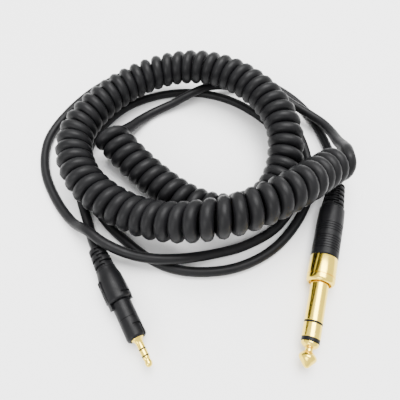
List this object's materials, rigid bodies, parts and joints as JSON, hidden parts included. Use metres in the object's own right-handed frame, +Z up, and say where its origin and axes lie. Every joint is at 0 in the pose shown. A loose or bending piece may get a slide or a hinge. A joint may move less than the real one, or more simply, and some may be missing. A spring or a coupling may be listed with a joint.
{
  "type": "coiled audio cable",
  "caption": "Coiled audio cable lying in loops, with a locking mini plug at one end and a headphone plug carrying a screw-on large plug adapter at the other.",
  "frame": {"origin": "centre of the bounding box of the lying cable, on the surface it lies on", "axes": "+Z up from the surface; +Y away from the two plugs, towards the back of the loops; +X towards the side of the large plug"},
  "size_m": [0.1422, 0.1524, 0.0317],
  "materials": {
    "cord_jacket": "matte black cord jacket",
    "soft_moulding": "matte black soft strain relief",
    "hard_moulding": "satin black moulding",
    "gold_plating": "polished gold plating",
    "insulator": "black insulating rings",
    "spring_bronze": "bare spring bronze",
    "guide_plastic": "natural slippery plastic",
    "core_insulation": "coloured core insulation"
  },
  "bodies": {
    "cable": {"cord_left_lead": "cord_jacket", "cord_coil": "cord_jacket", "cord_right_lead": "cord_jacket", "left_boot": "soft_moulding", "left_grip": "hard_moulding", "left_lock_sleeve": "hard_moulding", "left_plug_sleeve": "gold_plating", "left_outer_insulator": "insulator", "left_plug_ring": "gold_plating", "left_inner_insulator": "insulator", "left_plug_tip": "gold_plating", "left_core_wires": "core_insulation", "right_boot": "soft_moulding", "right_barrel": "hard_moulding", "right_thread_ferrule": "gold_plating", "right_plug_sleeve": "gold_plating", "right_outer_insulator": "insulator", "right_plug_ring": "gold_plating", "right_inner_insulator": "insulator", "right_plug_tip": "gold_plating", "right_core_wires": "core_insulation"},
    "adapter_carrier": {"adapter_guide_ring": "guide_plastic"},
    "adapter": {"adapter_collar": "gold_plating", "adapter_plug_sleeve": "gold_plating", "adapter_outer_insulator": "insulator", "adapter_plug_ring": "gold_plating", "adapter_inner_insulator": "insulator", "adapter_plug_tip": "gold_plating", "adapter_ring_spring": "spring_bronze", "adapter_tip_spring": "spring_bronze"}
  },
  "joints": [
    {"name": "adapter_pull", "type": "slide", "parent": "cable", "child": "adapter_carrier", "axis": [-0.3173, -0.9483, 0], "range_m": [0, 0.025]},
    {"name": "adapter_turn", "type": "hinge", "parent": "adapter_carrier", "child": "adapter", "pos_m": [0.04731, -0.04393, 0.0051], "axis": [-0.3173, -0.9483, 0], "continuous": true}
  ]
}
